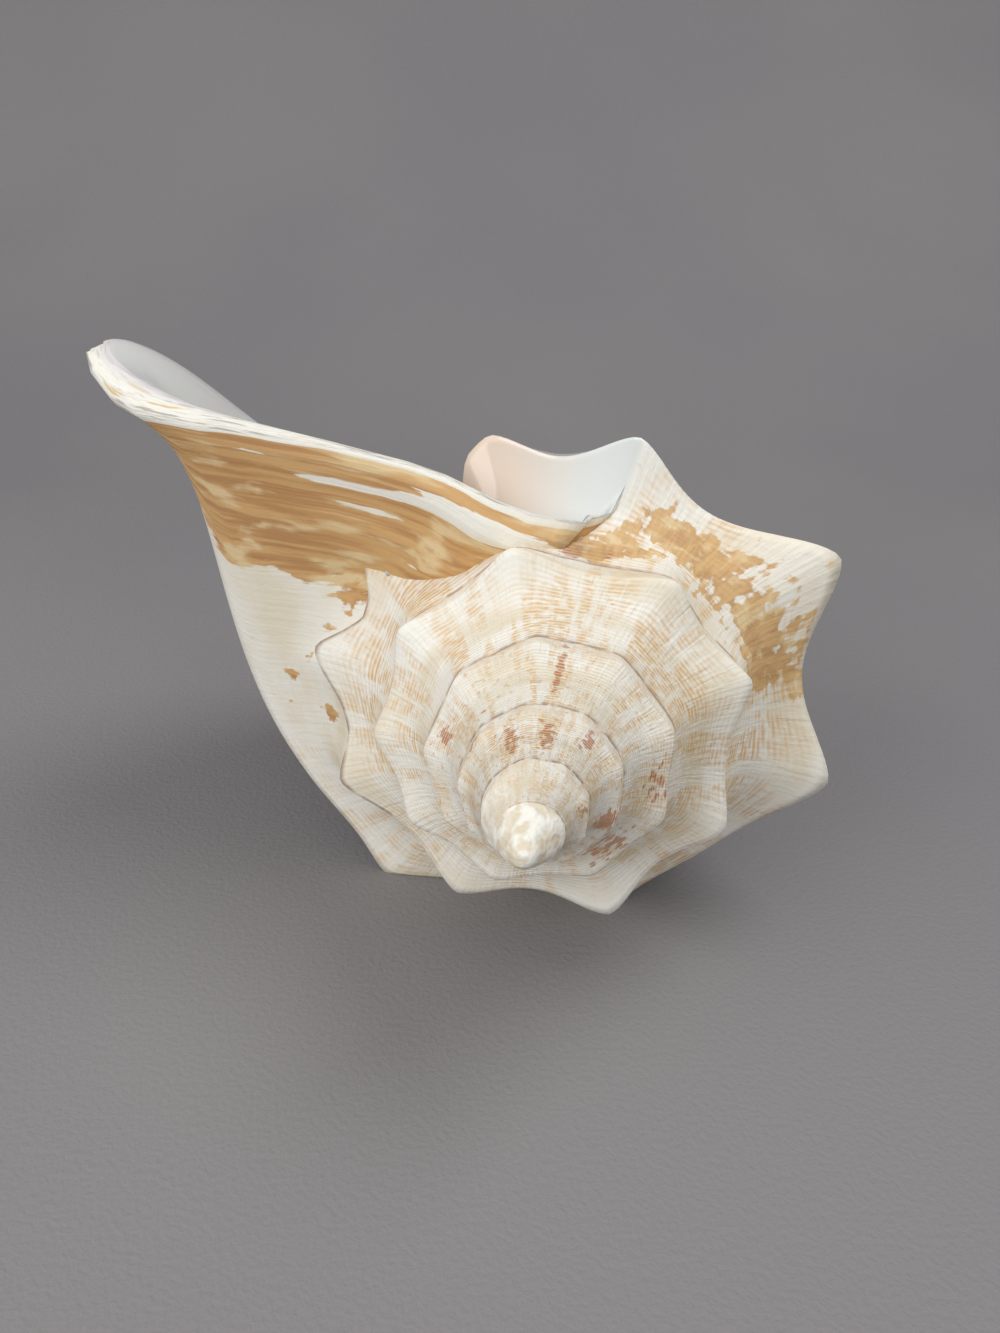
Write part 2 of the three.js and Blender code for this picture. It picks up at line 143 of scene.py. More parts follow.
# Markings, placed by turn and by place on the whorl: centre, half widths, strength.
RUST_MARKS = [
    (-1.18, 0.5, 0.02, 0.16, 0.8), (-2.13, 0.8, 0.03, 0.2, 0.6), (-2.04, 0.4, 0.025, 0.3, 0.8),
    (-1.95, 0.4, 0.025, 0.3, 0.8), (-1.86, 0.55, 0.02, 0.2, 0.8), (-2.76, 0.6, 0.03, 0.3, 0.6),
    (-1.67, 0.6, 0.025, 0.25, 0.8), (-1.65, 0.45, 0.02, 0.2, 0.6), (-0.955, 0.5, 0.008, 0.4, 0.8),
    # The mark at turn 1.045, place 0.12 browns the gap under the lip's end: partly the ramp's own rust,
    # partly painted shade from the lip's overhang.
    (-0.71, 0.6, 0.035, 0.25, 0.6), (-0.59, 0.5, 0.05, 0.3, 0.65), (1.045, 0.12, 0.03, 0.1, 1.2),
    (-1.1, 0.2, 0.02, 0.1, 0.4),
]
OCHRE_MARKS = [
    (1.831, 0.35, 0.006, 0.06, 0.9), (1.797, 0.385, 0.006, 0.04, 0.7), (1.777, 0.46, 0.006, 0.05, 0.8),
    (1.753, 0.52, 0.005, 0.04, 0.7), (1.745, 0.25, 0.009, 0.1, 0.9), (2.026, 0.24, 0.017, 0.1, -1.5),
    (2.006, 0.35, 0.008, 0.09, -0.9), (2.0, 0.43, 0.006, 0.06, -0.6), (2.032, 0.5, 0.005, 0.03, -0.9),
    (1.973, 0.375, 0.005, 0.06, -0.8), (1.93, 0.3, 0.006, 0.05, -0.6),
    (1.045, 0.14, 0.022, 0.1, 0.75), (1.075, 0.25, 0.035, 0.18, 0.57), (1.1, 0.5, 0.025, 0.14, 0.47),
    (1.135, 0.45, 0.035, 0.22, 0.57), (1.19, 0.4, 0.04, 0.24, 0.62), (1.238, 0.6, 0.025, 0.28, 0.64),
    (1.225, 0.3, 0.025, 0.12, 0.45),
]
TAN_MARKS = [
    (0.89, 0.3, 0.03, 0.3, 0.9), (0.78, 0.45, 0.05, 0.25, 0.3), (0.1, 0.4, 0.2, 0.4, 0.25),
    (-0.7, 0.6, 0.06, 0.4, 0.5), (1.06, 0.25, 0.03, 0.2, 0.8), (1.35, 0.4, 0.1, 0.4, 0.4),
]
# Painted shadow: a brown smear in the gap under the lip's end, where the lip's overhang casts shade. It runs
# through the crease channel into the seams' brown.
SHADE_MARKS = [(1.04, 0.13, 0.018, 0.07, 0.7)]
CALLUS_MARKS = [(0.985, 0.72, 0.055, 0.36, 1.7)]
OCHRE_BORDER = np.array([  # place, and the turn beyond which the skin on the lip's back begins
    (0, 1.86), (0.3, 1.862), (0.5, 1.881), (0.66, 1.888), (0.75, 1.91), (1.0, 1.99), (2, 2.02),
])
CORDS_PER_PLACE = 30
FULL_SPINE = 0.2  # a spine with this reach has no pattern left
CREASE_WIDTH = 0.5  # of the brown line along the seams
CALLUS_REACH = 9  # how far the callus spreads from the seam inside the mouth
CREVICE_REACH = 3  # and the brown of the crevice beside the climbing seam
CREVICE_TURN = 1.875
CREVICE_TURNS = 0.05

# The mesh's grid: columns run along the coil, rows across it.
PER_TURN = 240
RAMP_ROWS = 28  # rows from the upper seam to the lower one
KEEL_ROW = 20  # the row that runs along the keel
BODY_ROWS = 50  # rows from the lower seam to the canal's end
ROWS = RAMP_ROWS + BODY_ROWS
KEEL_SHIFT = 27  # rows by which the keel's row moves over at the mouth
FIRST_TURN = -4.94  # where the coil starts, under the worn apex
COLUMNS = round((LIP_TURN - FIRST_TURN) * PER_TURN)
MOUTH_COLUMN = COLUMNS - PER_TURN
CLIMB_COLUMN = round((CLIMB[0, 0] - FIRST_TURN) * PER_TURN)
CAVITY_COLUMN = COLUMNS - round(CAVITY_TURNS * PER_TURN)
RIM_STEPS = 5
APEX_RINGS = (0.8, 0.6, 0.4, 0.2)  # the rings that close the coil's start, as shares of its first loop
SMOOTHING = 30  # passes that smooth the inner face across the keel
SMOOTHED_FROM = 12  # the first row that they move
SEAM_SEARCH = 20  # columns to either side in which a point's nearest seam point is sought


def mix(a, b, f):
    return a + (b - a) * f


def smooth(low, high, x):
    f = np.clip((x - low) / (high - low), 0, 1)
    return f * f * (3 - 2 * f)


def angle_of(t):
    return START_ANGLE + t * 2 * math.pi


def spine_at(t):
    """How far the spines raise the keel at turn t."""
    angle = math.degrees(angle_of(t))
    return sum(
        height * math.exp(-(abs(angle - centre) / width) ** 1.5)
        for centre, height, width in SPINES
        if abs(angle - centre) < 3 * width
    )


def girth(t):
    slim = LATE_SLIM * smooth(-0.3, 0.1, t) + BODY_SLIM * smooth(0.93, 1.02, t)
    return 1 - slim + BODY_SWELL * smooth(1.5, 1.78, t)


def drop(t):
    return 1 + BODY_DROP * math.exp(-(((t - 1.47) / 0.1) ** 2))


def seam(t):
    """Radius and depth of the lower seam at turn t. The upper seam is that of the whorl before."""
    radius = SEAM_RADIUS * GROWTH**t * girth(t) * (1 - BODY_NARROW * smooth(1.05, 1.2, t))
    return radius, SEAM_DEPTH * GROWTH ** (DEPTH_POWER * t) * drop(t)


def keel(t):
    radius = TIP_RADIUS * KEEL_RADIUS * GROWTH**t * girth(t)
    return radius, TIP_DEPTH * GROWTH ** (DEPTH_POWER * t) * drop(t)


def coil_profile(t, w):
    """Radius and depth at turn t of the places w, without spines."""
    top, shoulder, bottom = seam(t - 1), keel(t), seam(t)
    f = np.clip(w / KEEL_AT, 0, 1)
    hollow = RAMP_HOLLOW * shoulder[0] * np.sin(np.pi * f)
    radius = mix(top[0], shoulder[0], f) - hollow
    depth = mix(top[1], shoulder[1], f) + hollow
    g = np.clip((w - KEEL_AT) / (1 - KEEL_AT), 0, 1)
    wall = w > KEEL_AT
    radius = np.where(wall, mix(shoulder[0], bottom[0], g), radius)
    depth = np.where(wall, mix(shoulder[1], bottom[1], g), depth)
    v = np.clip(w - 1, 0, 1)
    covered = 1 - smooth(MOUTH_TURN - 0.02, MOUTH_TURN + 0.4, t)
    columella = (1 - v) ** 1.5 * (1 - 0.2 * v)
    share = mix(1 - v**BODY_FULLNESS, columella, covered)
    end = mix(COLUMELLA_RADIUS, CANAL_RADIUS, smooth(MOUTH_TURN, MOUTH_TURN + 0.5, t))
    notch = CANAL_NOTCH * (1 - smooth(0, NOTCH_TURNS, min(abs(t - MOUTH_TURN), abs(LIP_TURN - t))))
    inward = CANAL_NOTCH + COLUMELLA_RISE * (MOUTH_TURN - t) if t < MOUTH_TURN else notch
    body = w > 1
    radius = np.where(body, mix(end, bottom[0], share), radius)
    depth = np.where(body, mix(bottom[1], SHELL_LENGTH - inward, v), depth)
    return radius, depth


def spine_shape(w):
    """How strongly a spine shows at the places w: most on the keel."""
    f = np.clip(w / KEEL_AT, 0, 1)
    g = np.clip((w - KEEL_AT) / (1 - KEEL_AT), 0, 1)
    shape = np.where(w <= KEEL_AT, f**SPINE_SHARPNESS, mix(1, SPINE_AT_SEAM, g))
    foot = SPINE_AT_SEAM * np.clip(1 - (w - 1) / SPINE_FOOT, 0, 1) ** 2
    return np.where(w > 1, foot, shape)


def coil_points(t, places, spines=1.0):
    """The coil's points at turn t, one for each place on the profile, with that share of its spines.

    Where the next whorl's seam has climbed this one, what lies beyond the seam has no spines and is sunk.
    """
    w = np.asarray(places, float)
    radius, depth = coil_profile(t, w)
    climbing = smooth(0.66, 0.7, t) * (1 - smooth(0.93, 0.96, t))
    seam_at = np.interp(t, CLIMB[:, 0], CLIMB[:, 1])
    shown = 1 - climbing * smooth(seam_at, seam_at + WALL_BASE, w)
    rise = spines * spine_at(t) * spine_shape(w) * shown
    radius = radius * (1 - COVERED_SINK * climbing * smooth(seam_at, seam_at + 1.2 * WALL_BASE, w))
    radius = radius * (1 + rise)
    depth = depth - rise * SPINE_LEAN * radius
    a = angle_of(t)
    return bend(np.stack([radius * math.sin(a), radius * math.cos(a), -depth], -1))


def bend(points):
    """Curls the canal's end towards the back."""
    f = np.clip((-points[..., 2] - BEND_START) / (SHELL_LENGTH - BEND_START), 0, 1.2)
    bent = points.copy()
    bent[..., 1] -= CANAL_BEND * f * f
    return bent


def along_line(line, u):
    """Centripetal Catmull-Rom curve through the line's points."""
    last = len(line) - 1
    p = min(max(u, 0.0), 1.0) * last
    i = min(int(p), last - 1)
    w = p - i
    p1, p2 = line[i], line[i + 1]
    p0 = line[i - 1] if i else 2 * line[0] - line[1]
    p3 = line[i + 2] if i + 2 <= last else 2 * line[last] - line[last - 1]
    d0, d1, d2 = (math.sqrt(np.linalg.norm(b - a)) for a, b in ((p0, p1), (p1, p2), (p2, p3)))
    leave = ((p1 - p0) / d0 - (p2 - p0) / (d0 + d1) + (p2 - p1) / d1) * d1
    arrive = ((p2 - p1) / d1 - (p3 - p1) / (d1 + d2) + (p3 - p2) / d2) * d1
    return hermite(p1, p2, leave, arrive, w)


def hermite(p, q, leave, arrive, f):
    """A cubic curve from p to q with those directions at its ends."""
    f2, f3 = f * f, f * f * f
    start = (2 * f3 - 3 * f2 + 1) * p + (f3 - 2 * f2 + f) * leave
    return start + (3 * f2 - 2 * f3) * q + (f3 - f2) * arrive


def lip_points(places):
    """Points of the lip's unworn edge at those places."""
    corner = LIP_CORNER / (len(LIP_LINE) - 1)
    points = []
    for w in places:
        u = w / KEEL_AT * corner if w <= KEEL_AT else mix(corner, 1, (w - KEEL_AT) / (2 - KEEL_AT))
        points.append(along_line(LIP_LINE, u))
    return np.array(points)


def edge_wear(places):
    """How far the worn edge of the lip lies behind its full line."""
    waves = 0.5 * np.sin(41 * places + 1) + 0.35 * np.sin(97 * places) + 0.25 * np.sin(173 * places + 2)
    return EDGE_WEAR * (1.1 + waves)


def flare_points(t, places, edge):
    """The flaring wall leaves the coil in its own direction and arrives at the lip's edge."""
    step = 0.01
    span = LIP_TURN - FLARE_TURN
    start = coil_points(FLARE_TURN, places)
    leave = (start - coil_points(FLARE_TURN - step, places)) / step * span * FLARE_PULL
    at_corner = np.exp(-(((places - KEEL_AT) / 0.4) ** 2))[:, None]
    arrive = mix(BODY_FLARE, CORNER_FLARE, at_corner)
    outward = arrive / np.linalg.norm(arrive, axis=1, keepdims=True)
    worn = edge - outward * (edge_wear(places) * smooth(0, 0.05, places))[:, None]
    return hermite(start, worn, leave, arrive, (t - FLARE_TURN) / span)


def row_places(i):
    """The places of the grid's rows in column i.

    Where the seam has climbed above the keel, the keel's row lies beyond the ramp's, and it moves over one
    row for each column.
    """
    passed = i - MOUTH_COLUMN
    climbed = i - CLIMB_COLUMN
    crossing = RAMP_ROWS - KEEL_ROW
    seam_at = float(np.interp(FIRST_TURN + i / PER_TURN, CLIMB[:, 0], CLIMB[:, 1]))
    if climbed == crossing:
        seam_at = KEEL_AT
    base = seam_at + WALL_BASE
    if passed > 0:
        stops = [(0, 0), (max(KEEL_ROW, KEEL_ROW + KEEL_SHIFT - passed), KEEL_AT)]
    elif climbed < crossing:
        stops = [(0, 0), (KEEL_ROW + max(climbed, 0), KEEL_AT), (RAMP_ROWS, seam_at), (RAMP_ROWS + 1, base)]
    elif base > KEEL_AT - WALL_BASE:
        stops = [(0, 0), (RAMP_ROWS, seam_at), (RAMP_ROWS + 1, base)]
    else:
        stops = [(0, 0), (RAMP_ROWS, seam_at), (RAMP_ROWS + 1, base), (KEEL_ROW + KEEL_SHIFT, KEEL_AT)]
    rows, at = zip(*stops)
    j = np.arange(ROWS + 1)
    far = np.clip((j - rows[-1]) / (ROWS - rows[-1]), 0, 1)
    return np.where(j > rows[-1], mix(at[-1], 2, far**1.15), np.interp(j, rows, at))


def outer_columns():
    """The outer surface's points by column and row, the same with lower spines, and each row's place."""
    edge = lip_points(row_places(COLUMNS))
    points = np.zeros((COLUMNS + 1, ROWS + 1, 3))
    smooth_wall = np.zeros((COLUMNS + 1, ROWS + 1, 3))
    places = np.zeros((COLUMNS + 1, ROWS + 1))
    for i in range(COLUMNS + 1):
        t = LIP_TURN - (COLUMNS - i) / PER_TURN
        places[i] = row_places(i)
        if t <= FLARE_TURN:
            points[i] = coil_points(t, places[i])
            smooth_wall[i] = coil_points(t, places[i], HOLLOW_SPINES)
        else:
            points[i] = flare_points(t, places[i], edge)
            smooth_wall[i] = points[i]
        if i >= PER_TURN:
            share = (1 - np.clip(places[i] / KEEL_AT, 0, 1))[:, None] ** 2
            shift = points[i - PER_TURN, RAMP_ROWS] - points[i, 0]
            points[i] += shift * share
            smooth_wall[i] += shift * share
    return points, smooth_wall, places


def normals_of(grid):
    across = np.gradient(grid, axis=1)
    along = np.gradient(grid, axis=0)
    normals = np.cross(along, across)
    return normals / np.maximum(np.linalg.norm(normals, axis=-1, keepdims=True), 1e-9)


def distance_to_seam(points):
    """Distance of each point of a grid from the line of the first row's points."""
    nearest = np.full(points.shape[:2], np.inf)
    for shift in range(-SEAM_SEARCH, SEAM_SEARCH + 1):
        column = np.clip(np.arange(len(points)) + shift, 0, len(points) - 1)
        nearest = np.minimum(nearest, np.linalg.norm(points - points[column, :1], axis=2))
    return nearest


# The values that the materials read at each corner of each face.
CHANNELS = ("turn", "place", "across", "crease", "callus", "ochre", "rust", "tan", "spine")
OUTSIDE, INSIDE, RIM = 0, 1, 2


class Surface:
    """Collects vertices, faces, and for each face its material and its corners' channels."""

    def __init__(self):
        self.points = []
        self.faces = []
        self.materials = []
        self.values = {name: [] for name in CHANNELS}

    def add(self, points):
        """Adds vertices and returns their numbers, in the same shape."""
        start = sum(len(p) for p in self.points)
        self.points.append(points.reshape(-1, 3))
        return (start + np.arange(points.reshape(-1, 3).shape[0])).reshape(points.shape[:-1])

    def grid(self, index, material, values, skip=None, flip=False):
        """Faces between neighbouring rows and columns of an index grid."""
        corners = [(0, 0), (1, 0), (1, 1), (0, 1)]
        if flip:
            corners = corners[::-1]
        n, m = index.shape
        pick = [(slice(a, n - 1 + a), slice(b, m - 1 + b)) for a, b in corners]
        quads = np.stack([index[p] for p in pick], -1)
        keep = np.ones(quads.shape[:2], bool) if skip is None else ~skip
        keep &= (quads >= 0).all(-1)
        self.faces += quads[keep].tolist()
        self.materials += [material] * int(keep.sum())
        for name in CHANNELS:
            value = np.broadcast_to(values.get(name, 0.0), index.shape)
            self.values[name] += np.stack([value[p] for p in pick], -1)[keep].ravel().tolist()

    def face(self, corners, material, values):
        self.faces.append([int(v) for v in corners])
        self.materials.append(material)
        for name in CHANNELS:
            self.values[name] += [float(values.get(name, 0.0))] * len(corners)

    def fan(self, loop, centre, material, values):
        middle = int(self.add(np.array([centre], float))[0])
        for a, b in zip(loop, np.roll(loop, -1)):
            self.face((a, b, middle), material, values)


def soft_spots(turns, places, marks):
    """Adds up soft marks: turn, place, half width in turns, half width in place, and strength."""
    total = np.zeros(np.broadcast(turns, places).shape)
    for turn, place, wide, high, strength in marks:
        total += strength * np.exp(-(((turns - turn) / wide) ** 2) - ((places - place) / high) ** 2)
    return total


def ochre_at(turns, places):
    """Where the ochre skin is left: on the back of the lip beyond a ragged border, and in patches."""
    border = np.interp(places, OCHRE_BORDER[:, 0], OCHRE_BORDER[:, 1])
    lip = smooth(border - 0.03, border + 0.03, turns)
    return np.clip(lip + soft_spots(turns, places, OCHRE_MARKS), -1, 2)


def outer_values(points, turns, places):
    """The channels of the outer surface."""
    steps = np.linalg.norm(np.diff(points, axis=1), axis=2)
    from_seam = np.concatenate([np.zeros((len(points), 1)), np.cumsum(steps, axis=1)], axis=1)
    to_next = np.abs(from_seam - from_seam[:, RAMP_ROWS : RAMP_ROWS + 1])
    width = CREASE_WIDTH * smooth(-3.2, -0.8, turns)[:, None] + 0.1
    crease = np.exp(-((from_seam / width) ** 2))
    crease[:MOUTH_COLUMN] += np.exp(-((to_next / width)[:MOUTH_COLUMN] ** 2))
    t = turns[:, None]
    covered = (t <= MOUTH_TURN) & (np.arange(ROWS + 1) > RAMP_ROWS)
    spread = 1 - smooth(0.03, 0.12, t - MOUTH_TURN)
    callus = np.where(covered, 1.0, spread * smooth(0.9, 1.2, places) * (t > MOUTH_TURN))
    callus = np.maximum(callus, soft_spots(t, places, CALLUS_MARKS))
    return {
        "turn": t,
        "place": places,
        # The crease channel also carries the painted shadow of SHADE_MARKS.
        "crease": np.clip(crease + soft_spots(t, places, SHADE_MARKS), 0, 1),
        "callus": np.clip(callus, 0, 1),
        "ochre": ochre_at(t, places),
        "rust": soft_spots(t, places, RUST_MARKS),
        "tan": soft_spots(t, places, TAN_MARKS),
        "spine": np.array([spine_at(t) for t in turns])[:, None] / FULL_SPINE * smooth(0.3, KEEL_AT, places),
    }


def outside_face(surface, points, turns, places):
    """The outer surface. A column has body rows only where the body or the columella shows."""
    own = np.zeros(points.shape[:2], bool)
    own[:, : RAMP_ROWS + 1] = True
    own[CAVITY_COLUMN - PER_TURN :] = True
    own[PER_TURN:, 0] = False
    outer = np.full(points.shape[:2], -1)
    outer[own] = surface.add(points[own])
    outer[PER_TURN:, 0] = outer[: COLUMNS + 1 - PER_TURN, RAMP_ROWS]
    wall_base = np.zeros((COLUMNS, ROWS), bool)
    wall_base[:MOUTH_COLUMN, RAMP_ROWS] = True
    surface.grid(outer, OUTSIDE, outer_values(points, turns, places), wall_base)
    return outer


def inner_wall(points, smooth_wall, turns, from_seam):
    """Points of the inner face of the last wall, one for each point of the outer face."""
    normals = normals_of(smooth_wall)[CAVITY_COLUMN:]
    j = np.arange(ROWS + 1)[None, :]
    thickness = mix(WALL, LIP_EDGE, smooth(LIP_TURN - EDGE_TURNS, LIP_TURN, turns[CAVITY_COLUMN:, None]))
    thickness = mix(thickness, CANAL_WALL, smooth(ROWS - THIN_ROWS, ROWS, j))
    thickness = np.minimum(thickness, SEAM_WALL + SEAM_GAIN * from_seam)
    inner_points = smooth_wall[CAVITY_COLUMN:] - normals * thickness[..., None]
    for _ in range(SMOOTHING):
        middle = inner_points[:, SMOOTHED_FROM:-1]
        neighbours = inner_points[:, SMOOTHED_FROM - 1 : -2] + inner_points[:, SMOOTHED_FROM + 1 :]
        middle += 0.5 * (neighbours / 2 - middle)
    inward = ((points[CAVITY_COLUMN:] - inner_points) * normals).sum(-1)
    missing = np.maximum(np.minimum(LEAST_WALL, LEAST_GAIN * from_seam) - inward, 0)
    return inner_points - normals * missing[..., None]


def inside_face(surface, outer, inner_points, from_seam, turns, places):
    """The inner face of the last wall. Its first and last rows lie on the whorl before."""
    inner = np.full(inner_points.shape[:2], -1)
    inner[:, 1:ROWS] = surface.add(inner_points[:, 1:ROWS])
    before = slice(CAVITY_COLUMN - PER_TURN, MOUTH_COLUMN + 1)
    inner[:, 0] = outer[before, RAMP_ROWS + 1]
    inner[:, ROWS] = outer[before, ROWS]
    t = turns[CAVITY_COLUMN:, None]
    near_climb = np.exp(-(((t - CREVICE_TURN) / CREVICE_TURNS) ** 4))
    values = {
        "turn": t,
        "place": places[CAVITY_COLUMN:],
        "callus": np.exp(-((from_seam / CALLUS_REACH) ** 2)),
        "crease": np.exp(-((from_seam / CREVICE_REACH) ** 2)) * near_climb,
    }
    surface.grid(inner, INSIDE, values, flip=True)
    return inner


def lip_rim(surface, outer, inner, points, inner_points, places):
    """The lip's rounded rim."""
    out_edge = points[COLUMNS]
    in_edge = inner_points[-1].copy()
    in_edge[0] = points[MOUTH_COLUMN, RAMP_ROWS + 1]
    in_edge[ROWS] = points[MOUTH_COLUMN, ROWS]
    forward = points[COLUMNS] - points[COLUMNS - 1]
    forward /= np.maximum(np.linalg.norm(forward, axis=1, keepdims=True), 1e-9)
    half = np.linalg.norm(out_edge - in_edge, axis=1, keepdims=True) / 2
    half[:RIM_POINTS] = 0
    half[-RIM_POINTS:] = 0
    rim = np.full((RIM_STEPS + 1, ROWS + 1), -1)
    rim[0], rim[-1] = outer[COLUMNS], inner[-1]
    middle = (out_edge + in_edge) / 2
    for k in range(1, RIM_STEPS):
        a = math.pi * k / RIM_STEPS
        ring = middle + (out_edge - middle) * math.cos(a) + forward * half * RIM_ROUNDNESS * math.sin(a)
        rim[k] = surface.add(ring)
    across = np.linspace(0, 1, RIM_STEPS + 1)[:, None]
    surface.grid(rim, RIM, {"turn": LIP_TURN, "place": places[COLUMNS][None, :], "across": across})


def blind_end(surface, outer, inner, turns):
    """The hollow's end, between the inner face and the columella."""
    values = {"turn": turns[CAVITY_COLUMN], "place": 1.5}
    wall = inner[0]
    column = outer[CAVITY_COLUMN - PER_TURN, RAMP_ROWS + 1 :]
    a = b = 0
    while a < len(wall) - 1 or b < len(column) - 1:
        if b >= len(column) - 1 or (a < len(wall) - 1 and (a + 1) / len(wall) <= (b + 1) / len(column)):
            face, a = [wall[a], column[b], wall[a + 1]], a + 1
        else:
            face, b = [wall[a], column[b], column[b + 1]], b + 1
        if len(set(face)) == 3:
            surface.face(face, INSIDE, values)


def canal_end(surface, outer):
    centre = bend(np.array([0, 0, CANAL_NOTCH * 0.8 - SHELL_LENGTH]))
    surface.fan(outer[MOUTH_COLUMN:, ROWS], centre, OUTSIDE, {"turn": MOUTH_TURN, "place": 2})


def apex(surface, outer):
    """Rings that close the coil's start. They get their depth from worn_apex."""
    loop = np.concatenate([outer[:PER_TURN, 0], outer[0, RAMP_ROWS:0:-1]])[::-1]
    loop_points = np.concatenate(surface.points)[loop]
    rings = [loop] + [surface.add(loop_points * share) for share in APEX_RINGS]
    index = np.array(rings)
    surface.grid(np.column_stack([index, index[:, 0]]), OUTSIDE, {"turn": FIRST_TURN}, flip=True)
    surface.fan(rings[-1], (0, 0, 0), OUTSIDE, {"turn": FIRST_TURN})


def shell_surface():
    points, smooth_wall, places = outer_columns()
    turns = LIP_TURN - (COLUMNS - np.arange(COLUMNS + 1)) / PER_TURN
    from_seam = distance_to_seam(points[CAVITY_COLUMN:])
    inner_points = inner_wall(points, smooth_wall, turns, from_seam)
    surface = Surface()
    outer = outside_face(surface, points, turns, places)
    inner = inside_face(surface, outer, inner_points, from_seam, turns, places)
    lip_rim(surface, outer, inner, points, inner_points, places)
    blind_end(surface, outer, inner, turns)
    canal_end(surface, outer)
    apex(surface, outer)
    return surface


def worn_apex(points):
    """The first turns of the spire worn to a smooth dome, which leans to the back."""
    radius = np.hypot(points[:, 0], points[:, 1])
    cone = APEX_SLOPE * SEAM_DEPTH * (radius / SEAM_RADIUS) ** DEPTH_POWER
    dome = np.cbrt(APEX_ROUND**3 + cone**3)
    worn = (1 - smooth(WORN_RADIUS, 2 * WORN_RADIUS, radius)) * (points[:, 2] > -SEAM_DEPTH / 2)
    points[:, 2] = mix(points[:, 2], -dome, worn)
    points[:, 1] -= APEX_LEAN * (1 - smooth(APEX_ROUND, LEAN_DEPTH, -points[:, 2]))
    return points


def laid_down(points):
    """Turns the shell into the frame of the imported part, in metres, with the worn flats it lies on."""
    turn = Matrix.Rotation(math.radians(-AXIS_YAW), 3, "Z")
    turn = turn @ Matrix.Rotation(math.radians(90 - AXIS_DIP), 3, "X")
    turn = turn @ Matrix.Rotation(math.radians(AXIS_ROLL), 3, "Z")
    laid = points @ np.array(turn).T + APEX_POINT
    laid[:, 2] = np.maximum(laid[:, 2], 0)
    return laid / 1000


def shell_object():
    surface = shell_surface()
    points = laid_down(worn_apex(np.concatenate(surface.points)))
    mesh = bpy.data.meshes.new("conch")
    mesh.from_pydata(points.tolist(), [], surface.faces)
    mesh.polygons.foreach_set("material_index", surface.materials)
    for name, values in surface.values.items():
        attribute = mesh.attributes.new(name, "FLOAT", "CORNER")
        attribute.data.foreach_set("value", np.array(values, np.float32))
    for material in (outside_material(), inside_material(), rim_material()):
        mesh.materials.append(material)
    mesh.validate()
    mesh.shade_smooth()
    obj = bpy.data.objects.new("conch", mesh)
    bpy.context.collection.objects.link(obj)
    return obj


# Materials. Patterns follow the growth of the shell, as functions of the turn and of the place on the whorl.
def srgb(red, green, blue):
    """A colour given as it looks on screen, from 0 to 255."""
    return tuple(((c / 255 + 0.055) / 1.055) ** 2.4 for c in (red, green, blue)) + (1,)


WHITE = srgb(246, 243, 233)
CREAM = srgb(236, 226, 204)
TIP_CREAM = srgb(226, 214, 190)
TAN = srgb(226, 184, 124)
OCHRE = srgb(214, 168, 106)
DEEP_OCHRE = srgb(188, 136, 78)
PALE_OCHRE = srgb(230, 202, 152)
RUST = srgb(188, 112, 44)
# Also the colour of the painted shade in the gap under the lip's end.
SEAM_BROWN = srgb(132, 84, 46)
CALLUS_WHITE = srgb(224, 228, 225)
PEACH = srgb(236, 214, 194)
LAVENDER = srgb(230, 226, 226)
ROSE = srgb(230, 192, 174)
GREY_LAYER = srgb(160, 150, 140)
FLOOR_GREY = srgb(133, 131, 133)
PALE_FLOOR = srgb(139, 137, 138)

# Depth of the relief, in metres.
OUTSIDE_RELIEF = 0.00035
INSIDE_RELIEF = 0.0005
RIM_RELIEF = 0.0008
WEAVE_RELIEF = 0.0003


